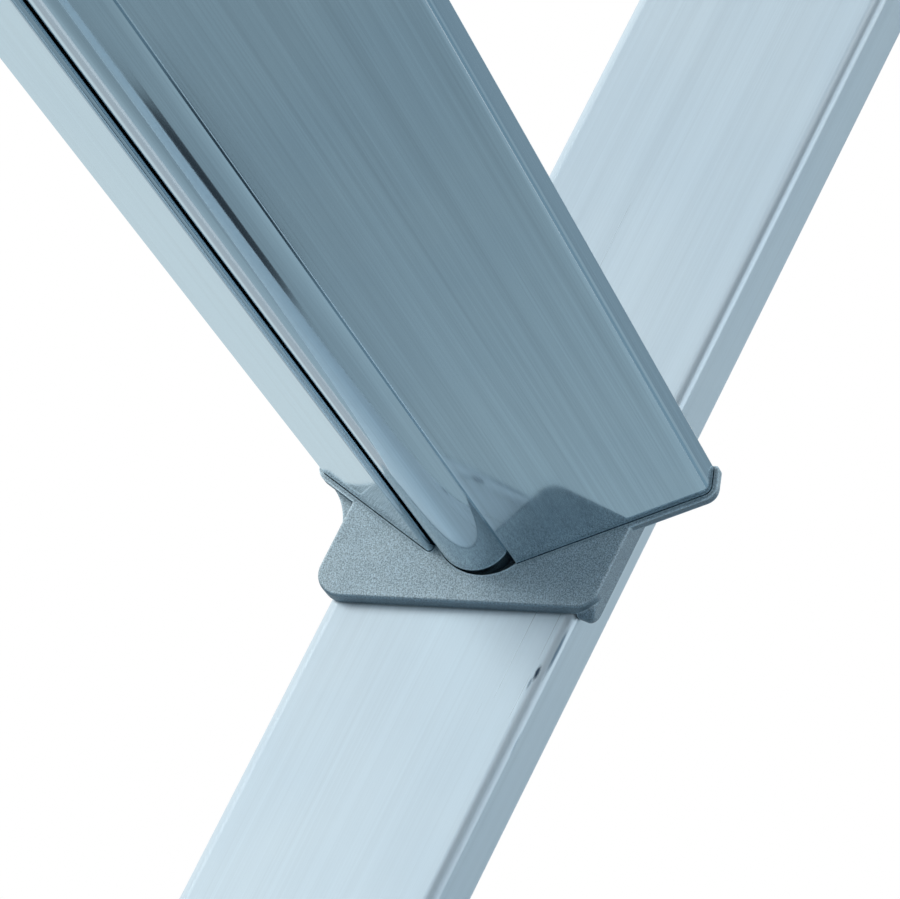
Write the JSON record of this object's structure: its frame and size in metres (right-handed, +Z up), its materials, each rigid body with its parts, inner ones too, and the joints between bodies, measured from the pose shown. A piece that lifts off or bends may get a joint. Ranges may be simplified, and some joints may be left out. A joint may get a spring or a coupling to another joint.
{
  "type": "platform stepladder",
  "caption": "Folding aluminium stepladder: box stiles, hollow extruded treads in cast brackets, lift-up platform, guard hoop and a hinged rear frame.",
  "frame": {"origin": "on the floor, at the middle of the rectangle that the four feet stand in", "axes": "+X to the climber's right, +Y from the climber's side to the rear frame, +Z up"},
  "size_m": [0.477, 1.1244, 1.761],
  "materials": {
    "extruded_aluminium": "mill-finished extrusion, fine lengthwise lines",
    "round_tube": "drawn tube, satin",
    "cast_bracket": "die-cast, fine granular grey",
    "rivet_aluminium": "bright heads",
    "steel_fittings": "zinc-plated",
    "moulded_plastic": "moulded, fine texture",
    "bush_plastic": "moulded, smooth",
    "foot_rubber": "moulded, matt"
  },
  "bodies": {
    "front_frame": {"front_stile_left": "extruded_aluminium", "front_stile_right": "extruded_aluminium", "tread_1": "extruded_aluminium", "tread_2": "extruded_aluminium", "tread_3": "extruded_aluminium", "tread_4": "extruded_aluminium", "tread_bracket_left_1": "cast_bracket", "tread_bracket_left_2": "cast_bracket", "tread_bracket_left_3": "cast_bracket", "tread_bracket_left_4": "cast_bracket", "tread_bracket_right_1": "cast_bracket", "tread_bracket_right_2": "cast_bracket", "tread_bracket_right_3": "cast_bracket", "tread_bracket_right_4": "cast_bracket", "tread_rivets_left": "rivet_aluminium", "tread_rivets_right": "rivet_aluminium", "hinge_head_left": "moulded_plastic", "hinge_head_right": "moulded_plastic", "head_rivets_front": "rivet_aluminium", "hinge_pin_left": "steel_fittings", "hinge_pin_right": "steel_fittings", "hoop": "round_tube", "platform_pin_left": "steel_fittings", "platform_pin_right": "steel_fittings", "front_foot_left": "foot_rubber", "front_foot_right": "foot_rubber", "foot_rivets_front": "rivet_aluminium"},
    "rear_frame": {"rear_stile_left": "extruded_aluminium", "rear_stile_right": "extruded_aluminium", "rear_head_left": "moulded_plastic", "rear_head_right": "moulded_plastic", "hinge_bush_left": "bush_plastic", "hinge_bush_right": "bush_plastic", "head_rivets_rear": "rivet_aluminium", "platform_rest_tube": "round_tube", "rear_cross_tube_upper": "round_tube", "rear_cross_tube_lower": "round_tube", "cross_tube_collars": "round_tube", "rear_foot_left": "foot_rubber", "rear_foot_right": "foot_rubber", "foot_rivets_rear": "rivet_aluminium"},
    "platform": {"platform_deck": "extruded_aluminium", "platform_cheek_left": "moulded_plastic", "platform_cheek_right": "moulded_plastic", "platform_bush_left": "bush_plastic", "platform_bush_right": "bush_plastic", "platform_hook_left": "moulded_plastic", "platform_hook_right": "moulded_plastic", "platform_screws": "steel_fittings"}
  },
  "joints": [
    {"name": "rear_frame_fold", "type": "hinge", "parent": "front_frame", "child": "rear_frame", "pos_m": [0, -0.00827, 1.34], "axis": [-1, 0, 0], "range_deg": [0, 41]},
    {"name": "platform_lift", "type": "hinge", "parent": "front_frame", "child": "platform", "pos_m": [0, -0.14645, 1.123], "axis": [1, 0, 0], "range_deg": [0, 70]}
  ]
}
